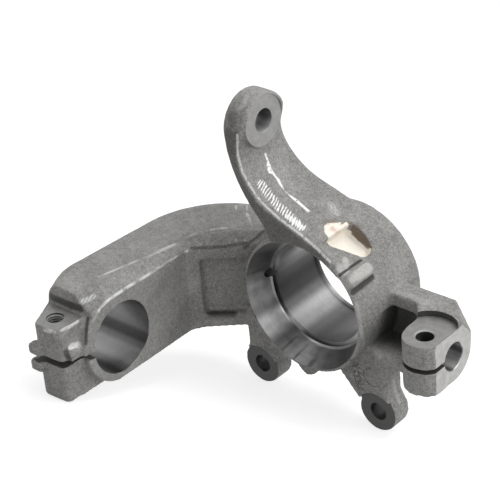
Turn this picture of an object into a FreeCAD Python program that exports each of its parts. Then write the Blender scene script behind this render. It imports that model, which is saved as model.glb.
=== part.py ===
import FreeCAD, Part
import math
import os

# Steering knuckle, one casting. Sizes in mm.
# Machining frame: X along the strut, tie-rod and ball-stud bores, Y along the wheel bearing,
# origin on the bearing axis. The finished shape is tipped about X so that it lies as in the photo.

# Main reaches, from the bearing axis
strut_reach = 135.5
strut_drop = 120.5
tie_rise = 116.5
ball_reach = 105.3
lug_spread = 49.8
lug_drop = 71.0

# Bearing hub
hub_front_y = -39.0
hub_back_y = 26.0
hub_front_radius = 48.8
hub_back_radius = 49.6
hub_edge = 1.0
mouth_radius = 46.5
shoulder_y = -21.4
shoulder_radius = 40.5
undercut_radius = 38.6
undercut_depth = 1.6
bore_radius = 36.0
bore_end_y = 20.0
lip_radius = 34.8
lip_end_y = 22.6
sensor_hole_radius = 3.4
sensor_hole_y = -22.6
sensor_hole_z = 3.7
sensor_hole_depth = 14.0

# Strut arm
arm_bottom_z = -40.0
arm_top_z = 29.5
arm_back_y = 20.5
arm_sweep_radius = 70.0
arm_top_roll = 12.0
clamp_length = 51.0
clamp_back_x = -strut_reach
arm_face_x = clamp_back_x + clamp_length
ridge_drop = 6.0
ridge_setback = 8.0
leg_corner_x = arm_face_x + 5.0
leg_corner_y = -49.0
leg_corner_bevel = 8.0
leg_corner_round = 5.0
leg_end_x = -30.0
leg_end_y = -8.5
leg_pocket_start = 0.8
leg_pocket_depth = 7.0
leg_pocket_round = 3.5
leg_pocket_top_z = 13.5
leg_pocket_bottom_z = -30.0

# Strut clamp
strut_bore_y = -strut_drop
strut_bore_z = -10.0
strut_bore_radius = 25.0
ear_step = 7.5
ear_face_x = arm_face_x - ear_step
ear_reach = 47.5
ear_front_y = strut_bore_y - ear_reach
clamp_back_round = 32.0
ear_corner_radius = 4.0
ear_low_round = 2.5
ring_top_radius = 34.0
ring_low_radius = 31.0
seat_z = 15.5
seat_length = 25.0
seat_back_y = ear_front_y + seat_length
lip_height = 7.0
lip_overhang = 3.5
lip_corner_radius = 2.0
slot_width = 5.0
strut_bolt_x = ear_face_x - 15.0
strut_bolt_y = strut_bore_y - 35.0
strut_thread_radius = 5.1
strut_clearance_radius = 6.2

# Steering arm
tie_hole_y = -19.0
tie_hole_z = tie_rise
tie_small_radius = 6.6
tie_large_radius = 7.9
tie_taper_length = 30.0
tie_face_x = -37.0
tie_back_x = -54.5
tie_spot_radius = 17.8
tie_spot_depth = 0.8
strap_round = 3.0
strap_front_y = -41.0
strap_end_radius = 22.5
strap_top_z = tie_hole_z + 19.0
strap_root_z = 20.0
strap_waist_x = tie_face_x - 5.3
strap_bend_z = tie_hole_z - 41.4
strap_bend_radius = 38.0
strap_back_radius = 83.0
strap_step_round = 15.0
strap_foot_round = 20.0
strap_flank_radius = 70.0
strap_spread = 13.0

# Ball-joint clamp
ball_bore_y = -18.0
ball_bore_z = -11.0
ball_bore_radius = 9.6
ball_face_x = ball_reach
ball_top_z = 11.0
ball_bottom_z = -30.0
ball_back_y = 9.0
ball_bolt_x = ball_face_x - 12.8
ball_bolt_y = -30.4
ball_bolt_radius = 5.9
ball_seat_z = 6.8
ball_seat_radius = 19.0
ball_seat_y = -26.5
ball_wall_radius = 19.5
ball_shoulder_x = ball_face_x - 16.3
ball_slot_width = 3.4
ball_ear_radius = 14.5
flange_thickness = 7.0
top_flange_thickness = 10.0
top_flange_y = -6.8
flange_front_y = -26.0
web_front_y = 1.0
pocket_start_x = 36.0
pocket_end_x = ball_face_x - 27.3

# Brake lugs
lug_x = lug_spread
lug_z = -lug_drop
lug_face_y = -26.5
lug_thickness = 15.0
lug_radius = 14.4
lug_hole_radius = 6.3
lug_spot_radius = 15.2
stem_front_y = -29.0
stem_inner_x = 18.0
stem_outer_x = lug_x + 8.7
dish_x = lug_x - 1.8
dish_z = lug_z + 28.0
dish_radius = 7.5
dish_depth = 0.9

# Small cast details on the hub
nub_x = 1.0
nub_radius = 8.0
nub_height = 5.0
nub_length = 15.0
hub_block_angle = 38.0
hub_block_width = 9.0
hub_block_height = 4.5
hub_block_end_y = -15.0
recess_radius = 43.5
recess_angle = 60.0
recess_front_y = -24.0
recess_back_y = -3.0
recess_low_side = 11.5
recess_high_side = 11.0
recess_round = 4.5

# Cutting tools reach this far past the casting, and a round takes this share of a run at most
clear = 300.0
round_share = 0.85

# Resting pose
rest_tilt = 18.0


def vec(x, y, z):
    return FreeCAD.Vector(x, y, z)


def box(x0, x1, y0, y1, z0, z1):
    return Part.makeBox(x1 - x0, y1 - y0, z1 - z0, vec(x0, y0, z0))


def cylinder(radius, start, end):
    axis = end.sub(start)
    return Part.makeCylinder(radius, axis.Length, start, axis)


# Straight runs through the points, with each inner corner rounded by its radius
def rounded_path(points, radii):
    corners = [vec(*p) for p in points]
    edges = []
    last = corners[0]
    for before, corner, after, radius in zip(corners, corners[1:], corners[2:], radii):
        back = (before - corner).normalize()
        ahead = (after - corner).normalize()
        half = back.getAngle(ahead) / 2
        shorter_run = min((before - corner).Length, (after - corner).Length)
        reach = min(radius / math.tan(half), shorter_run * round_share)
        radius = reach * math.tan(half)
        start = corner + back * reach
        end = corner + ahead * reach
        middle = corner + (back + ahead).normalize() * (radius / math.sin(half) - radius)
        edges.append(Part.LineSegment(last, start).toShape())
        edges.append(Part.Arc(start, middle, end).toShape())
        last = end
    edges.append(Part.LineSegment(last, corners[-1]).toShape())
    return edges


def chain(points):
    return Part.makePolygon([vec(*p) for p in points]).Edges


def is_near(point, target, reach):
    gap = point.sub(target)
    gap.z = 0
    return gap.Length < reach


def is_round(edge, radius):
    return isinstance(edge.Curve, Part.Circle) and abs(edge.Curve.Radius - radius) < 0.01


def is_upright(edge):
    return edge.BoundBox.ZLength > 1 and edge.BoundBox.XLength < 0.01 and edge.BoundBox.YLength < 0.01


def prism(edges, direction):
    wire = Part.Wire(Part.__sortEdges__(edges))
    return Part.Face(wire).extrude(direction)


def hub_body():
    length = hub_back_y - hub_front_y
    body = Part.makeCone(hub_front_radius, hub_back_radius, length, vec(0, hub_front_y, 0), vec(0, 1, 0))
    rims = [e for e in body.Edges if len(e.Vertexes) == 1]
    return body.makeChamfer(hub_edge, rims)


# Mouth, shoulder, undercut, bearing seat, lip and back bevel are turned in one profile
def hub_bore():
    outline = [
        (0, hub_front_y - 20, 0),
        (mouth_radius, hub_front_y - 20, 0),
        (mouth_radius, hub_front_y, 0),
        (shoulder_radius, shoulder_y, 0),
        (undercut_radius, shoulder_y, 0),
        (undercut_radius, shoulder_y + undercut_depth, 0),
        (bore_radius, shoulder_y + undercut_depth, 0),
        (bore_radius, bore_end_y, 0),
        (lip_radius, bore_end_y, 0),
        (lip_radius, lip_end_y, 0),
        (lip_radius + hub_back_y - lip_end_y + 1, hub_back_y + 1, 0),
        (0, hub_back_y + 1, 0),
        (0, hub_front_y - 20, 0),
    ]
    face = Part.Face(Part.makePolygon([vec(*p) for p in outline]))
    return face.revolve(vec(0, 0, 0), vec(0, 1, 0), 360)


def arm_body():
    z = arm_bottom_z
    ring_front_y = strut_bore_y - ring_top_radius
    outer = [
        (-10, arm_back_y, z), (clamp_back_x + 8.2, arm_back_y, z),
        (clamp_back_x - 0.4, strut_bore_y - 2.4, z), (clamp_back_x + 21.5, ear_front_y, z),
    ]
    inner = [
        outer[-1], (ear_face_x, ear_front_y + 1, z), (ear_face_x, ring_front_y - 2, z),
        (arm_face_x, ring_front_y - 2, z), (arm_face_x, leg_corner_y - leg_corner_bevel, z),
        (leg_corner_x, leg_corner_y, z), (leg_end_x, leg_end_y, z), (-10, leg_end_y, z), outer[0],
    ]
    edges = rounded_path(outer, [arm_sweep_radius, clamp_back_round]) + chain(inner)
    body = prism(edges, vec(0, 0, arm_top_z - arm_bottom_z))
    corner = vec(leg_corner_x, leg_corner_y, 0)
    reach = leg_corner_bevel + 5
    corners = [e for e in body.Edges if is_upright(e) and is_near(e.CenterOfMass, corner, reach)]
    body = body.makeFillet(leg_corner_round, corners)
    top = [e for e in body.Edges if e.BoundBox.ZMin > 0 and is_round(e, arm_sweep_radius)]
    body = body.makeFillet(arm_top_roll, top)
    body = body.cut([ridge_cut(), clamp_corner_cut(), seat_cut(), leg_pocket()])
    ends = [e for e in body.Edges if is_upright(e) and e.BoundBox.YMin < ring_front_y - 4]
    body = body.makeFillet(ear_corner_radius, ends)
    low = [e for e in body.Edges if e.BoundBox.ZMax < arm_bottom_z + 0.1 and e.BoundBox.YMax < ring_front_y]
    body = body.makeFillet(ear_low_round, low)
    return body.cut(clamp_ring_cut()).fuse(slot_lips())


def seat_cut():
    return box(-clear, leg_corner_x, -clear, seat_back_y, seat_z, clear)


# The face round the strut bore stands back from the ears and leaves a ring round the bore
def clamp_ring_cut():
    start = vec(ear_face_x - 20, strut_bore_y, strut_bore_z)
    axis = vec(1, 0, 0)
    upper = Part.makeCylinder(ring_top_radius, 60, start, axis)
    lower = Part.makeCylinder(ring_low_radius, 60, start, axis)
    flare = Part.makeCone(ring_top_radius + ear_step * ridge_drop / ridge_setback, ring_top_radius, ear_step,
                          vec(ear_face_x, strut_bore_y, strut_bore_z), axis)
    flare = flare.common(box(-clear, 0, seat_back_y, strut_bore_y, strut_bore_z, clear))
    above = box(ear_face_x, 0, -clear, strut_bore_y, strut_bore_z, clear).cut([upper, flare])
    below = box(ear_face_x, 0, -clear, strut_bore_y, -clear, strut_bore_z).cut(lower)
    return above.fuse(below)


def slot_lips():
    high = strut_bore_z + slot_width / 2 + lip_height
    low = strut_bore_z - slot_width / 2 - lip_height
    outer = box(strut_bolt_x - 13, strut_bolt_x - 2, ear_front_y - lip_overhang, ear_front_y + 5, low, high)
    inner = box(ear_face_x - 4, ear_face_x + 4.5, ear_front_y + 5, ear_front_y + 16, strut_bore_z, high)
    outer = outer.makeFillet(lip_corner_radius, [e for e in outer.Edges if is_upright(e)])
    return outer.fuse(inner)


# Everything on the far side of a plane
def half_space(corner, normal):
    block = box(0, clear, -clear, clear, -clear, clear)
    block.Placement = FreeCAD.Placement(corner, FreeCAD.Rotation(vec(1, 0, 0), normal))
    return block


def clamp_corner_cut():
    return half_space(vec(arm_face_x - 0.5, strut_bore_y - 12.5, arm_top_z - 7.5), vec(0.57, -0.40, 0.72))


def leg_frame():
    start = vec(leg_corner_x, leg_corner_y, 0)
    along = vec(leg_end_x, leg_end_y, 0).sub(start).normalize()
    return start, along


def leg_pocket():
    start, along = leg_frame()
    inward = vec(-along.y, along.x, 0)
    p = start + along * leg_pocket_start
    q = start + along * 60
    bottom = vec(0, 0, leg_pocket_bottom_z)
    deep = inward * leg_pocket_depth
    corners = [p - inward * 5, p + deep, q + deep - inward * 2, q - inward * 5]
    corners = [tuple(c + bottom) for c in corners]
    pocket = prism(chain(corners + corners[:1]), vec(0, 0, leg_pocket_top_z - leg_pocket_bottom_z))
    rounds = [e for e in pocket.Edges if is_near(e.CenterOfMass, p + deep, 6)]
    return pocket.makeFillet(leg_pocket_round, rounds)


# The arm's upper edge slopes down to its inner face and to the leg's face, with a mitre at the corner
def ridge_cut():
    start, along = leg_frame()
    top = arm_top_z
    slope = ridge_drop / ridge_setback
    profile = [(-ridge_setback, 0, top), (clear, 0, top - (clear + ridge_setback) * slope), (clear, 0, clear),
               (-ridge_setback, 0, clear), (-ridge_setback, 0, top)]
    beside_arm = prism(chain(profile), vec(0, 2 * clear, 0))
    beside_arm.translate(vec(0, -clear, 0))
    beside_leg = beside_arm.copy()
    beside_arm.translate(vec(arm_face_x, 0, 0))
    beside_leg.rotate(vec(0, 0, 0), vec(0, 0, 1), math.degrees(math.atan2(along.y, along.x)) - 90)
    beside_leg.translate(start)
    return beside_arm.common(beside_leg)


# The steering arm is its front outline carried back and cut to its side outline
def strap_body():
    y = strap_front_y
    over = strap_top_z + 5
    hub = hub_back_radius
    front = [(tie_face_x, y, over), (tie_face_x, y, tie_hole_z + 4.5), (strap_waist_x, y, tie_hole_z - 11.5),
             (strap_waist_x, y, strap_bend_z), (0.55 * hub, y, 0.94 * hub), (0.685 * hub, y, 0.685 * hub)]
    back = [(-0.444 * hub, y, 0.847 * hub), (-0.554 * hub, y, 1.069 * hub),
            (tie_back_x, y, tie_hole_z - 30.9), (tie_back_x, y, over)]
    edges = rounded_path(front, [strap_step_round, strap_step_round, strap_bend_radius, strap_foot_round])
    edges += rounded_path(back, [strap_foot_round, strap_back_radius])
    edges += chain([front[-1], (0.4 * hub, y, strap_root_z), (-0.2 * hub, y, strap_root_z), back[0]])
    edges += chain([back[-1], front[0]])
    side = prism(edges, vec(0, hub_back_y - strap_front_y, 0))
    strap = side.common(strap_outline())
    rims = [e for e in strap.Edges if e.BoundBox.ZMax > hub_back_radius + 10]
    return strap.makeFillet(strap_round, rims)


def strap_outline():
    x = tie_back_x - 20
    middle = strap_front_y + strap_end_radius
    end = middle + strap_end_radius
    centre_z = strap_top_z - strap_end_radius
    arc = Part.Arc(vec(x, strap_front_y, centre_z), vec(x, middle, strap_top_z), vec(x, end, centre_z))
    flank = [(x, end, centre_z), (x, end, centre_z - 10), (x, end + strap_spread, hub_back_radius),
             (x, end + strap_spread, strap_root_z)]
    rest = chain([flank[-1], (x, strap_front_y, strap_root_z), (x, strap_front_y, centre_z)])
    return prism([arc.toShape()] + rounded_path(flank, [strap_flank_radius] * 2) + rest, vec(clear, 0, 0))


def ball_body():
    z = ball_bottom_z
    tip = (ball_bolt_x, ball_bolt_y - ball_ear_radius, z)
    left = (ball_bolt_x - ball_ear_radius, ball_bolt_y, z)
    face_edge = (ball_face_x, ball_bolt_y - 8, z)
    half = math.sqrt(0.5) * ball_ear_radius
    ear = Part.Arc(vec(*left), vec(ball_bolt_x - half, ball_bolt_y - half, z), vec(*tip)).toShape()
    face_back_y = ball_bore_y + ball_wall_radius
    edges = [ear]
    root_x = pocket_start_x - 16
    front_y = flange_front_y
    edges += chain([tip, (ball_face_x - 4, ball_bolt_y - 12.5, z), face_edge, (ball_face_x, face_back_y, z),
                    (ball_shoulder_x, ball_back_y, z), (root_x, ball_back_y, z), (root_x, front_y + 4, z),
                    (root_x + 22, front_y, z), (root_x + 42, front_y - 2, z), left])
    body = prism(edges, vec(0, 0, ball_top_z - ball_bottom_z))
    return body.cut([ball_pocket(), ball_shoulder_cut(), ball_round_cut()])


def ball_shoulder_cut():
    a = vec(ball_shoulder_x, ball_back_y, ball_top_z)
    b = vec(ball_face_x, ball_back_y - 18, ball_top_z)
    c = vec(ball_face_x, ball_back_y - 7.5, ball_top_z - 13)
    return half_space(a, (b - a).cross(c - a))


def ball_round_cut():
    corner = box(50, clear, ball_bore_y, clear, -clear, ball_bore_z)
    start = vec(40, ball_bore_y, ball_bore_z)
    taper = Part.makeCone(ball_wall_radius + 9, ball_wall_radius, ball_shoulder_x - 40, start, vec(1, 0, 0))
    straight = cylinder(ball_wall_radius, start, vec(clear, ball_bore_y, ball_bore_z))
    return corner.cut([taper, straight])


# The pocket is closed above by the top flange, and open to the front
def ball_pocket():
    z0 = ball_bottom_z + flange_thickness
    z1 = ball_top_z - top_flange_thickness
    x0 = pocket_start_x
    x1 = pocket_end_x
    deep = [(x0, -50, z0), (x0, web_front_y, z0), (x1 - 2, web_front_y, z0), (x1, -27, z0), (x1 - 4, -50, z0)]
    walls = rounded_path(deep, [12, 8, 10]) + chain([deep[-1], deep[0]])
    lower = prism(walls, vec(0, 0, z1 - z0))
    open_top = [(x0 - 6, -50, z1 - 1), (x0 - 6, top_flange_y, z1 - 1), (x1 - 9, top_flange_y, z1 - 1),
                (x1 - 0.5, -17, z1 - 1), (x1 - 0.5, -50, z1 - 1)]
    walls = rounded_path(open_top, [2, 6, 8]) + chain([open_top[-1], open_top[0]])
    return lower.fuse(prism(walls, vec(0, 0, top_flange_thickness + 3)))


def lug(side):
    back = lug_face_y + lug_thickness
    body = cylinder(lug_radius, vec(side * lug_x, stem_front_y, lug_z), vec(side * lug_x, back, lug_z))
    corners = [
        (side * stem_inner_x, -44), (side * (lug_x - 12), lug_z + 5), (side * lug_x, lug_z - 5),
        (side * (lug_x + 14.5), lug_z + 4), (side * stem_outer_x, lug_z + 15), (side * stem_outer_x, -25),
        (side * stem_inner_x, -25),
    ]
    corners = [(x, stem_front_y, z) for x, z in corners]
    stem = prism(chain(corners + corners[:1]), vec(0, back - stem_front_y, 0))
    return body.fuse(stem)


def stem_dish():
    y = stem_front_y
    return cylinder(dish_radius, vec(dish_x, y - 1, dish_z), vec(dish_x, y + dish_depth, dish_z))


def hub_nub():
    start = vec(nub_x, hub_front_y + 0.5, -hub_front_radius + nub_radius - nub_height)
    return Part.makeCylinder(nub_radius, nub_length, start, vec(0, 1, 0))


def hub_block():
    block = box(hub_front_radius - 6, hub_front_radius + hub_block_height, hub_front_y, hub_block_end_y,
                -hub_block_width / 2, hub_block_width / 2)
    block.rotate(vec(0, 0, 0), vec(0, 1, 0), -hub_block_angle)
    return block


def root_recess():
    low = recess_radius
    profile = [(hub_front_y + 2, low + 8.5), (recess_front_y, low + 1.5), (recess_front_y + 1, low),
               (recess_back_y, low), (recess_back_y, clear), (hub_front_y + 2, clear)]
    corners = [(radius, y, -recess_low_side) for y, radius in profile]
    tool = prism(chain(corners + corners[:1]), vec(0, 0, recess_low_side + recess_high_side))
    radial = [e for e in tool.Edges if e.BoundBox.XLength > 20 and e.BoundBox.YMax > recess_front_y]
    tool = tool.makeFillet(recess_round, radial)
    tool.rotate(vec(0, 0, 0), vec(0, 1, 0), -recess_angle)
    return tool


def sensor_hole():
    start = vec(-bore_radius, sensor_hole_y, sensor_hole_z)
    return cylinder(sensor_hole_radius, start, start - vec(sensor_hole_depth, 0, 0))


def lug_cuts(side):
    spot = cylinder(lug_spot_radius, vec(side * lug_x, stem_front_y - 1, lug_z),
                    vec(side * lug_x, lug_face_y, lug_z))
    hole = cylinder(lug_hole_radius, vec(side * lug_x, -clear, lug_z), vec(side * lug_x, clear, lug_z))
    return [spot, hole]


def strut_cuts():
    x = strut_bolt_x
    y = strut_bolt_y
    z = strut_bore_z
    half_slot = slot_width / 2
    return [
        cylinder(strut_bore_radius, vec(-clear, strut_bore_y, z), vec(leg_corner_x + 20, strut_bore_y, z)),
        box(-clear, leg_corner_x, -clear, strut_bore_y, z - half_slot, z + half_slot),
        cylinder(strut_thread_radius, vec(x, y, z), vec(x, y, clear)),
        cylinder(strut_clearance_radius, vec(x, y, -clear), vec(x, y, z)),
    ]


def ball_cuts():
    x = ball_bolt_x
    y = ball_bolt_y
    half_slot = ball_slot_width / 2
    return [
        cylinder(ball_bore_radius, vec(pocket_end_x - 8, ball_bore_y, ball_bore_z),
                 vec(clear, ball_bore_y, ball_bore_z)),
        box(pocket_end_x - 18, clear, -clear, ball_bore_y, ball_bore_z - half_slot, ball_bore_z + half_slot),
        cylinder(ball_bolt_radius, vec(x, y, -clear), vec(x, y, clear)),
        cylinder(ball_seat_radius, vec(x, ball_seat_y, ball_seat_z), vec(x, ball_seat_y, clear)),
        box(x - 30, x + 30, -clear, ball_seat_y - 8, ball_seat_z, clear),
    ]


def tie_boss():
    return cylinder(tie_spot_radius, vec((tie_face_x + tie_back_x) / 2, tie_hole_y, tie_hole_z),
                    vec(tie_face_x, tie_hole_y, tie_hole_z))


def tie_cuts():
    hole = Part.makeCone(tie_small_radius, tie_large_radius, tie_taper_length,
                         vec(tie_face_x - tie_taper_length, tie_hole_y, tie_hole_z), vec(1, 0, 0))
    spot = cylinder(tie_spot_radius, vec(tie_face_x - tie_spot_depth, tie_hole_y, tie_hole_z),
                    vec(tie_face_x + 6, tie_hole_y, tie_hole_z))
    return [hole, spot]


def knuckle():
    body = hub_body().fuse([arm_body(), strap_body(), tie_boss(), ball_body(), lug(1), lug(-1), hub_nub(),
                            hub_block()])
    cuts = [hub_bore(), sensor_hole(), root_recess(), stem_dish()]
    cuts += strut_cuts() + ball_cuts() + tie_cuts() + lug_cuts(1) + lug_cuts(-1)
    body = body.cut(cuts).removeSplitter()
    body.rotate(vec(0, 0, 0), vec(1, 0, 0), rest_tilt)
    return body


os.makedirs("parts", exist_ok=True)
knuckle().exportStep("parts/knuckle_casting.step")
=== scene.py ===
"""Looks of a cast steering knuckle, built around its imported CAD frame.

The casting is made the way the real one is: a rough blank is grown from the CAD solid, and the bores,
seats and slots are then machined into it at the CAD sizes. Sizes below are millimetres in the machining
frame (X along the strut, tie-rod and ball-stud bores, Y along the wheel bearing, origin on its axis).
"""

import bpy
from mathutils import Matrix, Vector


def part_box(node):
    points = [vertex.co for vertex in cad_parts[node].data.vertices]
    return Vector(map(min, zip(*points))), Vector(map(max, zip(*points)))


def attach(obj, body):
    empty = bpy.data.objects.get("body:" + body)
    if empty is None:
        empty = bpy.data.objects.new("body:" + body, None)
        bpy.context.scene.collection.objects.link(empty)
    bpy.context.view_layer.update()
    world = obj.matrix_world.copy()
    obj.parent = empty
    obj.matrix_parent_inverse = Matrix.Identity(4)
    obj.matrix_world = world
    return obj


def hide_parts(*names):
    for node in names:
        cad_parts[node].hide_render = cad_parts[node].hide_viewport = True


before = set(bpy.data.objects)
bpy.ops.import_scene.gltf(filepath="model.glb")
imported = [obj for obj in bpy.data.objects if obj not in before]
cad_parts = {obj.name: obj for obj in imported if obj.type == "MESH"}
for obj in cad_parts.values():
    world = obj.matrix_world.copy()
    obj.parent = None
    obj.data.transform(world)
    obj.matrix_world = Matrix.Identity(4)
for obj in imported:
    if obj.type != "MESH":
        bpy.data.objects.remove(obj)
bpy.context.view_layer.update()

import logging
import math
from dataclasses import dataclass, field
from enum import Enum
from typing import Callable, Sequence

import bmesh
import bpy
from mathutils import Matrix, Vector, noise

LOG = logging.getLogger("knuckle")
NODE = "knuckle_casting"
MM = 0.001
REST_TILT = math.radians(18.0)
SEAT_STEPS = 64
CRISP_ANGLE = math.radians(38.0)
TO_ROW = Matrix.Rotation(REST_TILT, 4, "X") @ Matrix.Scale(MM, 4)

Point = tuple[float, float, float]
Stops = tuple[tuple[float, float], ...]


class Axis(Enum):
    """Direction that a turned tool or a pattern runs along, in the machining frame."""

    X = 0
    Y = 1
    Z = 2


class Surface(Enum):
    """How a patch of the casting was left, in the order of its material slots."""

    CAST = 0
    BEARING_BORE = 1
    BEARING_MOUTH = 2
    STRUT_BORE = 3
    STUD_BORE = 4
    DRILLED = 5
    TIE_SPOT = 6
    END_FACE = 7
    LUG_SPOT = 8
    BOLT_SEAT = 9
    SAWN = 10
    TAPER = 11


@dataclass(frozen=True)
class Mark:
    """A mark along a run of points: at its strength within inner millimetres, gone at outer millimetres."""

    points: tuple[Point, ...]
    inner: float
    outer: float
    strength: float = 1.0


# Shader building


class Graph:
    """A thin builder for one material's nodes; its methods return output sockets."""

    def __init__(self, name: str) -> None:
        """Starts an empty material called name, with its shader and output."""
        self.material = bpy.data.materials.new(name)
        self.material.use_nodes = True
        self.tree = self.material.node_tree
        self.tree.nodes.clear()
        self.out = self.tree.nodes.new("ShaderNodeOutputMaterial")
        self.shader = self.tree.nodes.new("ShaderNodeBsdfPrincipled")
        self.tree.links.new(self.shader.outputs[0], self.out.inputs["Surface"])

    def put(self, node: bpy.types.Node, inputs: dict) -> bpy.types.Node:
        """Links or sets a node's inputs.

        Args:
            node: the node to fill in.
            inputs: socket names or numbers, each with a socket to link or a value to set.

        Returns:
            The same node.
        """
        for key, value in inputs.items():
            socket = node.inputs[key]
            if isinstance(value, bpy.types.NodeSocket):
                self.tree.links.new(value, socket)
            else:
                socket.default_value = value
        return node

    def shade(self, **inputs: object) -> None:
        """Fills in the shader; underscores in names stand for spaces."""
        self.put(self.shader, {key.replace("_", " "): value for key, value in inputs.items()})

    def machining_mm(self) -> bpy.types.NodeSocket:
        """Object coordinates turned into the machining frame, in millimetres."""
        coords = self.tree.nodes.new("ShaderNodeTexCoord").outputs["Object"]
        mapping = self.tree.nodes.new("ShaderNodeMapping")
        self.put(mapping, {"Vector": coords, "Rotation": (-REST_TILT, 0, 0), "Scale": (1.0 / MM,) * 3})
        return mapping.outputs[0]

    def vector(self, operation: str, a: object, b: object = (0, 0, 0)) -> bpy.types.NodeSocket:
        """One vector operation; the ones that give a number return it."""
        node = self.tree.nodes.new("ShaderNodeVectorMath")
        node.operation = operation
        self.put(node, {0: a, 1: b})
        return node.outputs["Value" if operation in ("DOT_PRODUCT", "LENGTH", "DISTANCE") else "Vector"]

    def math(self, operation: str, a: object, b: object = 0.0) -> bpy.types.NodeSocket:
        """One arithmetic operation on numbers."""
        node = self.tree.nodes.new("ShaderNodeMath")
        node.operation = operation
        return self.put(node, {0: a, 1: b}).outputs[0]

    def product(self, *factors: object) -> bpy.types.NodeSocket:
        """The product of two or more numbers."""
        result = factors[0]
        for factor in factors[1:]:
            result = self.math("MULTIPLY", result, factor)
        return result

    def most(self, *values: object) -> bpy.types.NodeSocket:
        """The largest of two or more numbers."""
        result = values[0]
        for value in values[1:]:
            result = self.math("MAXIMUM", result, value)
        return result

    def split(self, vector: bpy.types.NodeSocket) -> bpy.types.NodeOutputs:
        """The X, Y and Z of a vector."""
        node = self.tree.nodes.new("ShaderNodeSeparateXYZ")
        return self.put(node, {0: vector}).outputs

    def join(self, x: object, y: object = 0.0, z: object = 0.0) -> bpy.types.NodeSocket:
        """A vector from its X, Y and Z."""
        node = self.tree.nodes.new("ShaderNodeCombineXYZ")
        return self.put(node, {0: x, 1: y, 2: z}).outputs[0]

    def grain(self, vector: bpy.types.NodeSocket, size: float, detail: float = 2.0,
              rough: float = 0.5) -> bpy.types.NodeSocket:
        """Soft noise from 0 to 1 whose blotches are about size millimetres wide."""
        node = self.tree.nodes.new("ShaderNodeTexNoise")
        inputs = {"Vector": vector, "Scale": 1.0 / size, "Detail": detail, "Roughness": rough}
        return self.put(node, inputs).outputs["Fac"]

    def cells(self, vector: bpy.types.NodeSocket, size: float) -> bpy.types.NodeSocket:
        """Distance to the middle of the nearest grain of about size millimetres."""
        node = self.tree.nodes.new("ShaderNodeTexVoronoi")
        return self.put(node, {"Vector": vector, "Scale": 1.0 / size}).outputs["Distance"]

    def step(self, value: object, low: float, high: float, to_low: float = 0.0,
             to_high: float = 1.0) -> bpy.types.NodeSocket:
        """Smooth step of value from low..high to to_low..to_high."""
        node = self.tree.nodes.new("ShaderNodeMapRange")
        node.interpolation_type = "SMOOTHSTEP"
        self.put(node, {0: value, 1: low, 2: high, 3: to_low, 4: to_high})
        return node.outputs[0]

    def between(self, value: object, low: float, high: float, soft: float) -> bpy.types.NodeSocket:
        """1 where value lies between low and high, with soft edges of soft millimetres outside them."""
        return self.math("MULTIPLY", self.step(value, low - soft, low),
                         self.step(value, high, high + soft, 1.0, 0.0))

    def blend(self, factor: object, a: object, b: object) -> bpy.types.NodeSocket:
        """Mixes colour a into colour b by factor."""
        node = self.tree.nodes.new("ShaderNodeMix")
        node.data_type = "RGBA"
        self.put(node, {0: factor, 6: a, 7: b})
        return node.outputs[2]

    def ramp(self, factor: object, stops: Stops) -> bpy.types.NodeSocket:
        """A grey that eases from stop to stop.

        Args:
            factor: the place along the ramp, from 0 to 1.
            stops: places from 0 to 1, each with a tone.

        Returns:
            The grey.
        """
        node = self.tree.nodes.new("ShaderNodeValToRGB")
        node.color_ramp.interpolation = "EASE"
        elements = node.color_ramp.elements
        for place, _ in stops[1:-1]:
            elements.new(place)
        for element, (_, tone) in zip(elements, stops):
            element.color = (tone, tone, tone, 1)
        return self.put(node, {0: factor}).outputs[0]

    def bump(self, height: object, distance: float, strength: object = 1.0,
             normal: object = None) -> bpy.types.NodeSocket:
        """A surface normal tilted by height, which is scaled to distance in millimetres."""
        node = self.tree.nodes.new("ShaderNodeBump")
        self.put(node, {"Height": height, "Distance": distance * MM, "Strength": strength})
        if normal is not None:
            self.put(node, {"Normal": normal})
        return node.outputs[0]

    def near(self, position: bpy.types.NodeSocket, mark: Mark) -> bpy.types.NodeSocket:
        """A mark's strength on it, falling to 0 beside it.

        The share along each piece of the mark is limited with plain minimum and maximum nodes, because a
        clamped node makes the shader keep every piece of every mark in memory at once.

        Args:
            position: the position in machining millimetres.
            mark: the mark.

        Returns:
            A number from 0 to the mark's strength.
        """
        best = None
        for start, end in zip(mark.points, mark.points[1:]):
            a, b = Vector(start), Vector(end)
            along = b - a
            local = self.vector("SUBTRACT", position, tuple(a))
            share = self.product(self.vector("DOT_PRODUCT", local, tuple(along)), 1.0 / along.length_squared)
            share = self.math("MINIMUM", self.most(share, 0.0), 1.0)
            scale = self.tree.nodes.new("ShaderNodeVectorMath")
            scale.operation = "SCALE"
            self.put(scale, {0: tuple(along), "Scale": share})
            gap = self.vector("DISTANCE", local, scale.outputs[0])
            best = gap if best is None else self.math("MINIMUM", best, gap)
        return self.step(best, mark.inner, mark.outer, mark.strength, 0.0)

    def near_any(self, position: bpy.types.NodeSocket, marks: Sequence[Mark]) -> bpy.types.NodeSocket:
        """The strongest of several marks."""
        return self.most(*(self.near(position, mark) for mark in marks))


# Finishes


@dataclass(frozen=True)
class Seams:
    """Thin ridges of flash that the mould left, as geometry and as rubbed metal."""

    strap: Mark = Mark(((-31.6, -16.5, 74.4), (-24.6, -18.2, 70.1), (-15.9, -18.2, 64.6), (-5.5, -19.1, 60.1)),
                       0.8, 1.5)
    arm: Mark = Mark(((-101.4, -119.7, 29.6), (-99.2, -110.8, 29.6), (-95.3, -96.1, 29.5), (-92.0, -80.5, 28.9),
                      (-90.3, -63.2, 28.2), (-87.4, -46.4, 28.9), (-80.4, -33.9, 29.6), (-73.1, -25.9, 29.6)),
                     0.5, 1.5)
    height: float = 0.55
    reach: float = 1.1


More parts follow.
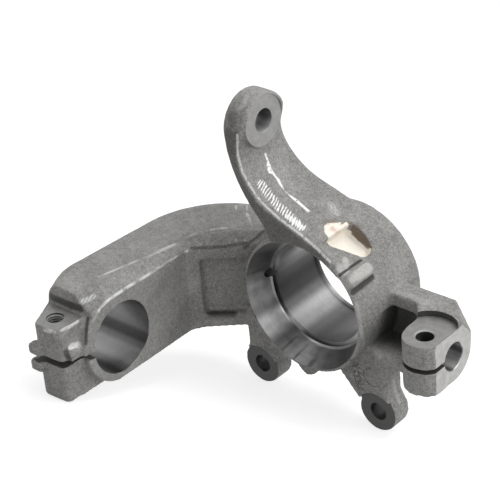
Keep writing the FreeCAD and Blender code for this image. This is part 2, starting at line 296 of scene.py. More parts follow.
@dataclass(frozen=True)
class RootPaint:
    """The dab of cream paint in the recess at the steering arm's root, with the wall behind it darkened to brown as
    painted shade.
    """

    out: Point = (0.5, 0.0, 0.866)
    along: Point = (-0.866, 0.0, 0.5)
    floor_low: float = 38.0
    floor_high: float = 46.4
    half_width: float = 11.6
    back: float = -3.5
    front: float = -19.0
    front_slope: float = 0.596
    cream: tuple = (0.86, 0.81, 0.72, 1)
    blush: tuple = (0.66, 0.49, 0.40, 1)
    # The paint's brown in shade, painted on the far wall.
    paint_shade: tuple = (0.15, 0.115, 0.085, 1)
    smear: Mark = Mark(((13.9, -23.0, 49.1), (12.1, -18.5, 53.0), (13.7, -13.0, 49.8), (13.9, -23.0, 49.1)), 3.7, 4.7)
    blushed: Mark = Mark(((11.0, -18.0, 54.0), (15.0, -14.0, 51.0)), 1.0, 8.0)
    paint_shade_streak: Mark = Mark(((8.0, -16.5, 56.0), (15.0, -9.0, 53.5), (19.0, -3.5, 49.0)), 1.5, 5.0)

    def apply(self, g: Graph, at: bpy.types.NodeSocket, colour: bpy.types.NodeSocket) -> tuple:
        """Lays the paint over a colour.

        Args:
            g: the material's graph.
            at: the position in machining millimetres.
            colour: the bare surface's colour.

        Returns:
            The new colour, and how much of it is paint.
        """
        ragged = g.product(g.math("SUBTRACT", g.grain(at, 3.0, 4.0, 0.65), 0.5), 5.0)
        height = g.math("ADD", g.vector("DOT_PRODUCT", at, self.out), ragged)
        side = g.vector("DOT_PRODUCT", at, self.along)
        depth = g.split(at)[Axis.Y.value]
        slant = g.math("ADD", depth, g.product(side, self.front_slope))
        floor = g.product(g.between(height, self.floor_low, self.floor_high, 0.6),
                          g.between(side, -self.half_width, self.half_width, 0.5),
                          g.step(slant, self.front, self.front + 0.6),
                          g.step(depth, self.back, self.back + 0.5, 1.0, 0.0))
        wobble = g.vector("ADD", at, g.join(ragged, ragged, ragged))
        dab = g.product(g.near(wobble, self.smear), g.step(depth, self.back - 0.7, self.back - 0.1, 1.0, 0.0),
                        g.step(slant, self.front - 2.4, self.front - 1.6))
        side_wall = g.product(g.between(side, 10.4, 13.2, 0.5), g.between(height, 42.0, 53.0, 0.6),
                              g.between(depth, -22.0, -6.0, 0.6),
                              g.step(slant, self.front - 1.4, self.front - 0.6))
        painted = g.most(floor, dab, side_wall)
        # The far wall of the recess and a streak beside it are darkened to brown as painted shade.
        far_wall = g.product(g.between(side, -9.5, 11.3, 0.8), g.between(depth, self.back - 0.2, -2.6, 0.4),
                             g.step(height, 51.5, 54.0, 1.0, 0.0))
        tint = g.most(g.product(far_wall, 0.95), g.product(g.near(wobble, self.paint_shade_streak), 0.4))
        colour = g.blend(tint, colour, self.paint_shade)
        blush = g.product(g.near(at, self.blushed), g.step(g.grain(at, 5.0, 3.0), 0.40, 0.60))
        return g.blend(painted, colour, g.blend(blush, self.cream, self.blush)), painted


@dataclass(frozen=True)
class CastSkin:
    """Sand-cast iron: mid-grey, grainy, brighter where edges were knocked or went under the grinder in fettling, with
    painted highlights on edges and lit tops and painted shade in hollows, grooves and corners.
    """

    dark: tuple = (0.140, 0.138, 0.133, 1)
    light: tuple = (0.365, 0.360, 0.346, 1)
    # Colour of rubbed metal and of painted highlights on edges and lit tops.
    wear_and_highlight: tuple = (0.50, 0.49, 0.47, 1)
    # Colour of grinding marks, scratches and painted highlights along edges.
    bright: tuple = (0.86, 0.86, 0.85, 1)
    # Colour of painted shade in creases, grooves, corners and the deep pocket.
    painted_shade: tuple = (0.022, 0.021, 0.020, 1)
    seams: Seams = Seams()
    paint: RootPaint = RootPaint()
    grind_band: Mark = Mark(((-32.4, -30.2, 77.0), (-26.1, -30.6, 71.3), (-18.1, -32.0, 65.9), (-8.7, -33.0, 61.3),
                             (0.4, -34.2, 57.8)), 3.0, 4.4)
    grind_smear: Mark = Mark(((-10.0, -34.0, 61.8), (-4.0, -33.8, 59.2), (0.5, -34.0, 57.6)), 1.5, 2.6)
    stroke: Point = (0.29, -0.92, -0.26)
    spacing: Point = (0.68, 0.39, -0.62)
    stroke_gap: float = 1.9
    stroke_fade: float = 0.12
    stroke_reach: float = 9.0
    fine_grain: float = 0.95
    coarse_grain: float = 2.8
    broad_grain: float = 24.0
    flare: tuple = (
        Mark(((-41.1, -16.4, 90.2), (-39.5, -16.2, 85.9), (-37.6, -17.3, 82.0)), 0.5, 1.2),
        Mark(((-38.4, -17.2, 83.4), (-36.6, -18.4, 79.8)), 1.3, 2.2),
        Mark(((-38.0, -18.6, 80.4), (-35.8, -17.6, 79.6)), 1.2, 2.0),
        Mark(((-36.0, -17.0, 79.6), (-33.4, -16.6, 76.0), (-31.6, -16.5, 74.0)), 0.5, 1.2),
    )
    # A painted highlight along the rounded top edge of the arm's inner face.
    fillet_highlight: Mark = Mark(((-85.0, -143.0, 14.5), (-84.7, -135.6, 20.8), (-84.7, -126.8, 22.6),
                              (-84.7, -113.0, 22.8), (-84.5, -89.6, 22.4), (-84.2, -70.0, 22.6),
                              (-83.0, -54.5, 22.8)), 0.55, 1.5, 0.85)
    # A painted highlight along the strap's lower rim.
    strap_rim_highlight: Mark = Mark(((-41.5, -40.6, 114.4), (-43.0, -39.9, 99.4), (-40.4, -39.6, 87.0), (-35.3, -39.0, 78.6),
                            (-29.1, -39.0, 71.8), (-20.9, -39.2, 66.3), (-11.7, -39.7, 62.1), (4.4, -39.2, 55.8),
                            (18.6, -39.9, 49.3), (27.7, -39.9, 43.3)), 0.45, 1.3, 0.55)
    # Painted highlights along edges of the strut clamp's seat and slot.
    rims: tuple = (
        Mark(((-104.4, -167.4, 13.6), (-97.0, -166.0, 14.6), (-93.2, -160.0, 14.9), (-92.4, -150.0, 15.2)),
             0.8, 2.0, 0.55),
        Mark(((-92.2, -159.3, 0.7), (-90.0, -154.0, 0.6)), 1.4, 2.8, 0.65),
    )
    clamp_streak: Mark = Mark(((-95.0, -142.4, 24.7), (-93.4, -139.4, 25.2), (-91.2, -134.5, 26.2)), 0.8, 2.4)
    arm_scratches: tuple = (
        Mark(((-88.2, 1.8, 29.7), (-61.2, -29.8, 26.0)), 0.25, 0.8),
        Mark(((-81.7, 6.0, 29.7), (-56.3, -26.3, 25.8)), 0.25, 0.8),
        Mark(((-74.0, -3.0, 29.6), (-58.0, -16.0, 28.0)), 0.3, 1.6),
    )
    scuffs: Mark = Mark(((-0.6, -2.0, 58.4), (2.6, -3.7, 56.7), (6.0, -4.7, 55.6)), 1.2, 4.0)
    crust: Mark = Mark(((38.7, -36.0, -29.0), (35.5, -30.0, -42.0), (37.8, -29.5, -53.0)), 2.5, 6.5)
    # Lighter patches: painted highlights on lit tops and edges of the hub, eye and stud arm, partly rubbed metal.
    pale: tuple = (
        Mark(((38.5, -38.0, 30.8), (39.5, -28.0, 31.8), (39.5, -19.0, 31.8)), 3.4, 5.0, 0.85),
        Mark(((31.8, -35.4, 38.0), (34.1, -33.6, 34.9), (28.3, -26.5, 37.5)), 1.6, 4.0, 0.9),
        Mark(((45.9, -33.9, -15.8), (48.4, -38.2, -1.0), (46.9, -38.7, 10.0), (45.4, -38.3, 16.8)), 0.8, 2.2, 0.6),
        Mark(((44.1, -22.4, -22.9), (54.1, -27.3, -24.2)), 1.0, 3.4, 0.4),
        Mark(((58.3, -20.1, -46.2), (58.8, -18.1, -56.8), (61.9, -19.4, -62.7)), 0.8, 2.2, 0.6),
        Mark(((-43.5, -33.6, 129.8), (-42.2, -31.0, 131.8), (-44.9, -25.6, 134.5)), 0.8, 2.4, 0.5),
        Mark(((54.7, -4.4, 11.1), (74.2, -4.3, 11.1)), 1.4, 5.0, 0.35),
    )
    # Darker lines and patches: painted shade in grooves, corners and under overhangs, and a few darker spots by the eye
    # and on the hub rim.
    dim: tuple = (
        Mark(((33.8, -38.6, 35.0), (33.8, -28.0, 35.3), (34.1, -16.8, 35.3)), 0.5, 1.5, 0.9),
        Mark(((42.2, -36.5, 24.4), (42.1, -27.1, 24.7), (42.0, -16.5, 25.1)), 1.2, 3.0, 0.85),
        Mark(((-122.2, -143.0, 19.4), (-105.5, -143.0, 19.1), (-96.1, -143.0, 20.1)), 1.6, 4.0, 0.85),
        Mark(((-82.0, -51.0, 23.6), (-67.6, -39.1, 23.1), (-54.7, -27.2, 24.5)), 0.5, 2.0, 0.6),
        Mark(((-49.6, -14.0, 29.7), (-51.1, -21.0, 26.4), (-53.1, -26.0, 24.4), (-54.7, -28.6, 21.3)), 0.5, 1.8, 0.6),
        Mark(((-89.3, -143.5, 15.2), (-87.7, -146.5, 12.1), (-86.0, -150.0, 7.0), (-84.7, -152.2, 1.9)), 0.6, 1.8, 0.8),
        Mark(((-92.2, -163.2, -0.9), (-90.3, -163.0, -5.0)), 1.2, 2.8, 0.8),
        Mark(((-47.5, -37.4, 125.4), (-45.8, -40.0, 119.9)), 0.6, 5.5, 0.5),
        Mark(((-76.6, -43.9, -29.8), (-70.9, -40.1, -29.8), (-65.1, -36.3, -29.8)), 1.4, 5.0, 0.85),
        Mark(((-41.5, -39.0, -22.0), (-41.5, -39.0, -24.6)), 0.5, 1.3),
        Mark(((-31.4, -38.6, -33.8), (-29.0, -38.6, -35.9)), 0.4, 1.2),
    )

    def ground_and_highlit_marks(self, g: Graph, at: bpy.types.NodeSocket) -> bpy.types.NodeSocket:
        """How bright the grinding marks, the scratched and rubbed places, and the painted highlights along the arm's
        fillet edge and the strap and clamp rims are.

        Args:
            g: the material's graph.
            at: the position in machining millimetres.

        Returns:
            A number from 0 to 1.
        """
        ragged = g.step(g.grain(at, 2.0, 2.0), 0.34, 0.50)
        cross = g.product(g.vector("DOT_PRODUCT", at, self.spacing), 1.0 / self.stroke_gap)
        run = g.product(g.vector("DOT_PRODUCT", at, self.stroke), self.stroke_fade)
        sway = g.product(g.grain(g.join(g.product(cross, 0.7), run), 1.0, 1.0, 0.4), 9.0)
        wave = g.math("SINE", g.math("ADD", g.product(cross, math.tau), sway))
        strokes = g.step(wave, -0.35, 0.45)
        reach = g.product(g.math("SUBTRACT", g.grain(g.join(cross), 0.8, 2.0, 0.7), 0.5), self.stroke_reach)
        shifted = g.vector("ADD", at, g.vector("MULTIPLY", self.stroke, g.join(reach, reach, reach)))
        patchy = g.step(g.grain(at, 1.4, 3.0, 0.65), 0.30, 0.52, 0.25, 1.0)
        band = g.product(g.near(shifted, self.grind_band), strokes, patchy)
        smear = g.product(g.near(at, self.grind_smear), g.step(strokes, 0.0, 1.0, 0.65, 1.0))
        flare = g.product(g.near_any(at, self.flare), g.step(ragged, 0.0, 1.0, 0.35, 1.0))
        seam = g.product(g.near(at, self.seams.strap), g.step(ragged, 0.0, 0.3))
        rubbed = g.step(g.grain(at, 8.0, 2.0), 0.38, 0.62, 0.15, 1.0)
        ridge = g.product(g.near(at, self.seams.arm), rubbed, 0.42)
        # Painted highlights along the fillet edge and the rims.
        edge = g.product(g.near(at, self.fillet_highlight), rubbed)
        rims = g.product(g.near_any(at, self.rims + (self.strap_rim_highlight,)), g.step(ragged, 0.0, 1.0, 0.35, 1.0))
        streak = g.product(g.near(at, self.clamp_streak), g.step(strokes, 0.0, 1.0, 0.2, 0.5))
        scratches = g.product(g.near_any(at, self.arm_scratches), ragged, 0.38)
        scuffs = g.product(g.near(at, self.scuffs), g.step(g.grain(at, 1.0, 4.0, 0.7), 0.40, 0.62), 0.45)
        return g.most(band, smear, flare, seam, ridge, edge, rims, streak, scratches, scuffs)

    def shadows(self, g: Graph, at: bpy.types.NodeSocket) -> bpy.types.NodeSocket:
        """How much painted shade darkens the stud arm's deep pocket, the strap's front side and the grooves, corners
        and spots of the dim marks.

        Args:
            g: the material's graph.
            at: the position in machining millimetres.

        Returns:
            A number from 0 to 1.
        """
        x, y, z = g.split(at)
        # Painted shade, deeper into the stud arm's pocket.
        pocket = g.product(g.between(x, 39.0, 77.0, 3.0), g.step(y, -26.0, -9.0, 0.0, 0.86),
                           g.between(z, -23.5, 0.5, 1.5), g.step(y, 1.5, 3.0, 1.0, 0.0))
        # Painted shade on the strap's front side.
        strap_side = g.product(g.step(y, -41.0, -40.1, 0.55, 0.0), g.step(z, 40.0, 46.0))
        return g.most(pocket, strap_side, g.near_any(at, self.dim))

    def material(self) -> bpy.types.Material:
        """Builds the skin's material.

        Returns:
            The material, in Object coordinates.
        """
        g = Graph("cast_skin")
        at = g.machining_mm()
        fine = g.grain(at, self.fine_grain, 2.0, 0.7)
        coarse = g.grain(at, self.coarse_grain, 3.0, 0.6)
        broad = g.grain(at, self.broad_grain, 3.0, 0.55)
        pits = g.step(g.cells(at, 1.6), 0.05, 0.40)
        tone = g.math("ADD", g.product(fine, 0.66), g.product(coarse, 0.34))
        tone = g.math("ADD", tone, g.product(g.math("SUBTRACT", broad, 0.5), 0.28))
        tone = g.step(tone, 0.28, 0.72)
        tone = g.product(tone, g.step(pits, 0.0, 1.0, 0.72, 1.0))
        colour = g.blend(tone, self.dark, self.light)

        # By pointiness, convex edges are lightened as painted highlight and wear, and creases are darkened as painted
        # shade.
        bend = g.tree.nodes.new("ShaderNodeNewGeometry").outputs["Pointiness"]
        uneven = g.product(g.math("SUBTRACT", coarse, 0.5), 0.08)
        edge = g.product(g.step(g.math("ADD", bend, uneven), 0.53, 0.62),
                         g.step(g.grain(at, 11.0, 3.0), 0.38, 0.62, 0.35, 1.0))
        hollow = g.step(g.math("ADD", bend, uneven), 0.38, 0.47, 0.65, 0.0)
        colour = g.blend(hollow, colour, self.painted_shade)
        colour = g.blend(g.product(edge, 0.5), colour, self.wear_and_highlight)

        crust = g.near(at, self.crust)
        scabs = g.step(g.grain(at, 1.5, 5.0, 0.75), 0.42, 0.58)
        scab_colour = g.blend(scabs, (0.05, 0.049, 0.046, 1), (0.50, 0.49, 0.47, 1))
        colour = g.blend(g.product(crust, 0.7), colour, scab_colour)
        speckle = g.step(fine, 0.30, 0.65, 0.55, 1.0)
        # Painted highlights and rubbed metal from the pale marks.
        colour = g.blend(g.product(g.near_any(at, self.pale), speckle), colour, self.wear_and_highlight)
        ground_and_highlit = self.ground_and_highlit_marks(g, at)
        # Painted shade in the pocket, on the strap's side and in the grooves and corners.
        colour = g.blend(self.shadows(g, at), colour, self.painted_shade)
        # Grinding marks, scratches, rubbed flash and painted edge highlights lighten the colour.
        colour = g.blend(ground_and_highlit, colour, self.bright)
        colour, painted = self.paint.apply(g, at, colour)

        roughness = g.math("SUBTRACT", g.step(tone, 0.0, 1.0, 0.72, 0.58), g.product(ground_and_highlit, 0.2))
        calm = g.math("SUBTRACT", 1.0, g.product(g.most(painted, ground_and_highlit), 0.75))
        normal = g.bump(coarse, 0.5, g.product(calm, 0.5))
        normal = g.bump(fine, 0.26, g.product(calm, 0.8), normal)
        normal = g.bump(scabs, 0.5, g.product(crust, 0.9), normal)
        g.shade(Base_Color=colour, Roughness=roughness, Metallic=0.12, Normal=normal)
        return g.material


@dataclass(frozen=True)
class TurnedBore:
    """A bored wall: fine rings round the tool's axis, and broad lighter and darker bands along it, which are painted
    reflections and shade set by the angle round the axis.
    """

    name: str
    axis: Axis
    centre: Point
    bands: Stops
    pitch: float = 0.7
    roughness: float = 0.36
    metallic: float = 0.85

    def material(self) -> bpy.types.Material:
        """Builds the machined material.

        Returns:
            The material, in Object coordinates.
        """
        g = Graph(self.name)
        at = g.machining_mm()
        local = g.split(g.vector("SUBTRACT", at, self.centre))
        across = [local[axis.value] for axis in Axis if axis is not self.axis]
        angle = g.math("ARCTAN2", across[1], across[0])
        turn = g.math("ADD", g.product(angle, 0.5 / math.pi), 0.5)
        run = g.join(local[self.axis.value])
        rings = g.grain(run, self.pitch, 3.0, 0.7)
        blotch = g.grain(at, 7.0, 3.0, 0.6)
        sheen = g.math("ADD", g.product(rings, 0.55), g.product(blotch, 0.45))
        # Painted reflections and shade: the ramp sets the tone by the angle round the axis.
        base = g.ramp(turn, self.bands)
        colour = g.vector("MULTIPLY", base, g.join(*[g.step(sheen, 0.3, 0.7, 0.80, 1.20)] * 3))
        roughness = g.step(blotch, 0.3, 0.7, self.roughness - 0.05, self.roughness + 0.07)
        g.shade(Base_Color=colour, Roughness=roughness, Metallic=self.metallic, Normal=g.bump(rings, 0.04, 0.3))
        return g.material


@dataclass(frozen=True)
class FacedIron:
    """A spot face or seat: flat, with faint rings round the cutter's axis."""

    name: str
    axis: Axis
    centre: Point
    tone: float
    roughness: float = 0.45
    metallic: float = 0.35
    tint: tuple = (1.0, 0.99, 0.965)
    shade_walls: bool = False
    wall_shade: tuple = (0.02, 0.02, 0.02, 1)

    def material(self) -> bpy.types.Material:
        """Builds the faced material; the step's walls beside the face can be darkened as painted shade.

        Returns:
            The material, in Object coordinates.
        """
        g = Graph(self.name)
        at = g.machining_mm()
        flat = tuple(0.0 if axis is self.axis else 1.0 for axis in Axis)
        local = g.vector("MULTIPLY", g.vector("SUBTRACT", at, self.centre), flat)
        rings = g.grain(g.join(g.vector("LENGTH", local)), 0.9, 2.0, 0.6)
        blotch = g.grain(at, 6.0, 4.0, 0.65)
        sheen = g.step(g.math("ADD", g.product(rings, 0.35), g.product(blotch, 0.65)), 0.3, 0.7)
        low = tuple(self.tone * 0.78 * part for part in self.tint) + (1,)
        high = tuple(self.tone * 1.22 * part for part in self.tint) + (1,)
        colour = g.blend(sheen, low, high)
        # Faces that do not face along the cutter's axis are darkened as painted shade.
        if self.shade_walls:
            facing = g.tree.nodes.new("ShaderNodeNewGeometry").outputs["Normal"]
            upright = TO_ROW.to_3x3().normalized() @ Vector([float(axis is self.axis) for axis in Axis])
            square = g.math("ABSOLUTE", g.vector("DOT_PRODUCT", facing, tuple(upright)))
            colour = g.blend(g.step(square, 0.5, 0.8, 0.85, 0.0), colour, self.wall_shade)
        g.shade(Base_Color=colour, Metallic=self.metallic, Normal=g.bump(rings, 0.05, 0.3),
                Roughness=g.step(blotch, 0.3, 0.7, self.roughness - 0.06, self.roughness + 0.08))
        return g.material


@dataclass(frozen=True)
class SawnIron:
    """The walls of the clamp slots: dull and dark, with coarse straight marks."""

    dark: tuple = (0.035, 0.034, 0.032, 1)
    light: tuple = (0.10, 0.098, 0.094, 1)

    def material(self) -> bpy.types.Material:
        """Builds the sawn material."""
        g = Graph("sawn_iron")
        at = g.machining_mm()
        marks = g.grain(g.vector("MULTIPLY", at, (0.2, 1.4, 0.4)), 0.9, 3.0)
        colour = g.blend(marks, self.dark, self.light)
        g.shade(Base_Color=colour, Roughness=0.62, Metallic=0.3, Normal=g.bump(marks, 0.12, 0.6))
        return g.material


# Tones of the painted reflections and shade round each turned surface, by the share of a turn.
BEARING_BANDS: Stops = (
    (0.0, 0.07), (0.03, 0.045), (0.07, 0.07), (0.10, 0.20), (0.133, 0.56), (0.165, 0.42), (0.20, 0.17),
    (0.235, 0.11), (0.275, 0.15), (0.32, 0.20), (0.42, 0.34), (0.50, 0.20), (0.58, 0.30), (0.68, 0.14),
    (0.78, 0.32), (0.87, 0.16), (0.945, 0.26), (0.975, 0.15), (1.0, 0.07))
MOUTH_BANDS: Stops = (
    (0.0, 0.40), (0.045, 0.42), (0.075, 0.28), (0.10, 0.74), (0.118, 0.60), (0.16, 0.17), (0.19, 0.30),
    (0.223, 0.60), (0.257, 0.48), (0.31, 0.28), (0.378, 0.16), (0.45, 0.38), (0.55, 0.60), (0.66, 0.30),
    (0.75, 0.54), (0.85, 0.27), (0.93, 0.15), (0.965, 0.20), (1.0, 0.40))
STRUT_BANDS: Stops = (
    (0.0, 0.20), (0.12, 0.33), (0.215, 0.09), (0.253, 0.21), (0.292, 0.34), (0.345, 0.28), (0.375, 0.15),
    (0.40, 0.055), (0.425, 0.06), (0.45, 0.16), (0.48, 0.20), (0.53, 0.22), (0.62, 0.16), (0.75, 0.28),
    (0.87, 0.16), (1.0, 0.20))
STUD_BANDS: Stops = (
    (0.0, 0.42), (0.15, 0.20), (0.217, 0.14), (0.292, 0.86), (0.33, 0.76), (0.375, 0.56), (0.43, 0.30),
    (0.472, 0.14), (0.51, 0.18), (0.55, 0.50), (0.67, 0.38), (0.85, 0.60), (1.0, 0.42))
TAPER_BANDS: Stops = ((0.0, 0.18), (0.25, 0.62), (0.36, 0.30), (0.5, 0.08), (0.75, 0.10), (1.0, 0.18))
PLAIN_BAND: Stops = ((0.0, 0.06), (0.25, 0.10), (0.5, 0.05), (0.75, 0.09), (1.0, 0.06))


def finishes() -> dict[Surface, bpy.types.Material]:
    """One material for each kind of surface.

    Returns:
        The materials by surface.
    """
    return {
        Surface.CAST: CastSkin().material(),
        Surface.BEARING_BORE: TurnedBore("bearing_bore", Axis.Y, (0, 0, 0), BEARING_BANDS).material(),
        Surface.BEARING_MOUTH: TurnedBore("bearing_mouth", Axis.Y, (0, 0, 0), MOUTH_BANDS).material(),
        Surface.STRUT_BORE: TurnedBore("strut_bore", Axis.X, (0, -120.5, -10.0), STRUT_BANDS).material(),
        Surface.STUD_BORE: TurnedBore("stud_bore", Axis.X, (0, -18.0, -11.0), STUD_BANDS, metallic=0.6).material(),
        Surface.DRILLED: TurnedBore("drilled", Axis.Z, (0, 0, 0), PLAIN_BAND, metallic=0.5).material(),
        Surface.TAPER: TurnedBore("taper", Axis.X, (0, -19.0, 116.5), TAPER_BANDS, metallic=0.6).material(),
        Surface.TIE_SPOT: FacedIron("tie_spot", Axis.X, (0, -19.0, 116.5), 0.31).material(),
        Surface.END_FACE: FacedIron("end_face", Axis.X, (0, -18.0, -11.0), 0.44, metallic=0.5).material(),
        # The lug spot faces take a near-black tone as painted shade, for faces that point down and away from the lamps.
        Surface.LUG_SPOT: FacedIron("lug_spot", Axis.Y, (0, 0, 0), 0.062, metallic=0.15).material(),
        # The bolt seat's side walls, and the thread's upright faces, are darkened as painted shade.
        Surface.BOLT_SEAT: FacedIron("bolt_seat", Axis.Z, (92.5, -30.4, 0), 0.25, metallic=0.3,
                                     shade_walls=True).material(),
        Surface.SAWN: SawnIron().material(),
    }


# Shapes


def lathe(axis: Axis, centre: Point, profile: Sequence[tuple[float, float]], steps: int = 96) -> bmesh.types.BMesh:
    """A closed turned solid, in millimetres.

    Args:
        axis: the direction of the turning axis.
        centre: a point that the axis goes through.
        profile: places along the axis, measured in the machining frame, each with a radius; the first
            and last radius are 0.
        steps: facets around.

    Returns:
        The solid as a bmesh.
    """
    shape = bmesh.new()
    along = Vector([1.0 if axis.value == i else 0.0 for i in range(3)])
    across = Vector((0, 0, 1)) if axis is not Axis.Z else Vector((1, 0, 0))
    base = Vector(centre)
    base[axis.value] = 0.0
    verts = [shape.verts.new(base + along * place + across * radius) for place, radius in profile]
    edges = [shape.edges.new(pair) for pair in zip(verts, verts[1:])]
    bmesh.ops.spin(shape, geom=verts + edges, cent=base, axis=along, angle=math.tau, steps=steps,
                   use_merge=True, use_duplicate=False)
    bmesh.ops.remove_doubles(shape, verts=shape.verts, dist=1e-4)
    bmesh.ops.recalc_face_normals(shape, faces=shape.faces)
    return shape


def rod(axis: Axis, centre: Point, start: float, end: float, radius: float, steps: int = 64) -> bmesh.types.BMesh:
    """A plain turned cylinder from start to end along axis."""
    return lathe(axis, centre, [(start, 0), (start, radius), (end, radius), (end, 0)], steps)


def slab(low: Point, high: Point) -> bmesh.types.BMesh:
    """A box between two corners, in millimetres."""
    shape = bmesh.new()
    bmesh.ops.create_cube(shape, size=1.0)
    size = Vector(high) - Vector(low)
    bmesh.ops.scale(shape, vec=size, verts=shape.verts)
    bmesh.ops.translate(shape, vec=(Vector(low) + Vector(high)) / 2, verts=shape.verts)
    return shape


def add_shape(whole: bmesh.types.BMesh, part: bmesh.types.BMesh, material: int = 0) -> None:
    """Adds a shape to another and frees it.

    Args:
        whole: the shape that grows.
        part: the shape that is added.
        material: the number of the material slot that its faces take.
    """
    for face in part.faces:
        face.material_index = material
    mesh = bpy.data.meshes.new("part")
    part.to_mesh(mesh)
    part.free()
    whole.from_mesh(mesh)
    bpy.data.meshes.remove(mesh)


def to_object(name: str, shape: bmesh.types.BMesh, material: bpy.types.Material | None = None) -> bpy.types.Object:
    """Moves a shape in millimetres into the row frame and makes it an object.

    Args:
        name: the object's name.
        shape: the shape, which is freed.
        material: its material, if any.

    Returns:
        The object, at the origin.
    """
    shape.transform(TO_ROW)
    mesh = bpy.data.meshes.new(name)
    shape.to_mesh(mesh)
    shape.free()
    if material is not None:
        mesh.materials.append(material)
    obj = bpy.data.objects.new(name, mesh)
    bpy.context.scene.collection.objects.link(obj)
    return obj


def apply_modifiers(obj: bpy.types.Object) -> None:
    """Replaces an object's mesh by what its modifiers make of it."""
    graph = bpy.context.evaluated_depsgraph_get()
    baked = bpy.data.meshes.new_from_object(obj.evaluated_get(graph), preserve_all_data_layers=True, depsgraph=graph)
    old = obj.data
    obj.modifiers.clear()
    obj.data = baked
    bpy.data.meshes.remove(old)


def keep_outer_shell(shape: bmesh.types.BMesh) -> None:
    """Deletes every loose shell of a mesh but the one with the most points.

    Args:
        shape: the mesh.
    """
    seen: set = set()
    shells: list[list] = []
    for start in shape.verts:
        if start in seen:
            continue
        seen.add(start)
        shell = [start]
        for vert in shell:
            for edge in vert.link_edges:
                other = edge.other_vert(vert)
                if other not in seen:
                    seen.add(other)
                    shell.append(other)
        shells.append(shell)
    shells.sort(key=len)
    inner = [vert for shell in shells[:-1] for vert in shell]
    if inner:
        bmesh.ops.delete(shape, geom=inner, context="VERTS")


class SeamRidge:
    """Raises a low ridge of flash along a run of points."""

    def __init__(self, mark: Mark, height: float, reach: float) -> None:
        """Keeps the run, its height and its half width, all in millimetres."""
        self.points = [Vector(point) for point in mark.points]
        self.height = height
        self.reach = reach
        spare = Vector((3 * reach,) * 3)
        self.low = Vector([min(point[i] for point in self.points) for i in range(3)]) - spare
        self.high = Vector([max(point[i] for point in self.points) for i in range(3)]) + spare

    def lift(self, at: Vector) -> float:
        """How far a point moves outwards.

        Args:
            at: its place in the machining frame, in millimetres.

        Returns:
            The way in millimetres.
        """
        if any(at[i] < self.low[i] or at[i] > self.high[i] for i in range(3)):
            return 0.0
        best = math.inf
        for a, b in zip(self.points, self.points[1:]):
            along = b - a
            share = min(max((at - a).dot(along) / along.length_squared, 0.0), 1.0)
            best = min(best, (at - a - along * share).length)
        return self.height * math.exp(-(best / self.reach) ** 2)


# Machining


@dataclass
class Cut:
    """One machining cut: the finish it leaves, and the tool that takes the metal out."""

    surface: Surface
    tool: Callable[[], bmesh.types.BMesh]


@dataclass
class BearingHub:
    """The wheel-bearing bore with its wide mouth, shoulder, undercut and lip."""

    front: float = -39.0
    back: float = 26.0
    mouth_radius: float = 46.5
    shoulder: tuple = (-21.4, 40.5)
    undercut: tuple = (-19.8, 38.6)
    bore: tuple = (20.0, 36.0)
    lip: tuple = (22.6, 34.8)
    sensor: tuple = (-22.6, 3.7, 3.4, 14.0)
    overrun: float = 6.0
    wall: float = 0.9

    def stock(self) -> list[bmesh.types.BMesh]:
        """A plug that closes the bore before it is cut, with a thin wall round it."""
        wall = self.wall
        profile = [(self.front, 0), (self.front, self.mouth_radius + wall), (self.shoulder[0], self.shoulder[1] + wall),
                   (self.undercut[0] + 2, self.undercut[1] + wall), (self.bore[0], self.bore[1] + wall),
                   (self.back, self.lip[1] + self.back - self.lip[0] + wall), (self.back, 0)]
        return [lathe(Axis.Y, (0, 0, 0), profile, 96)]

    def cuts(self) -> list[Cut]:
        """The bore, the mouth in front of it, then the sensor hole.

        Returns:
            The cuts in their order.
        """
        front, mouth = self.front, self.mouth_radius
        shoulder_y, shoulder_r = self.shoulder
        relief_y, relief_r = self.undercut
        bore_y, bore_r = self.bore
        lip_y, lip_r = self.lip
        bore = [(shoulder_y - 4, 0), (shoulder_y - 4, relief_r), (relief_y, relief_r), (relief_y, bore_r),
                (bore_y - 1.0, bore_r), (bore_y + 0.4, lip_r), (lip_y, lip_r),
                (self.back + 1, lip_r + self.back + 1 - lip_y), (self.back + 1, 0)]
        cone = [(front - 20, 0), (front - 20, mouth), (front, mouth), (shoulder_y, shoulder_r), (shoulder_y, 0)]
        y, z, radius, depth = self.sensor
        return [
            Cut(Surface.BEARING_BORE, lambda: lathe(Axis.Y, (0, 0, 0), bore, 192)),
            Cut(Surface.BEARING_MOUTH, lambda: lathe(Axis.Y, (0, 0, 0), cone, 192)),
            Cut(Surface.SAWN, lambda: rod(Axis.X, (0, y, z), -bore_r - depth, -bore_r + self.overrun, radius, 40)),
        ]


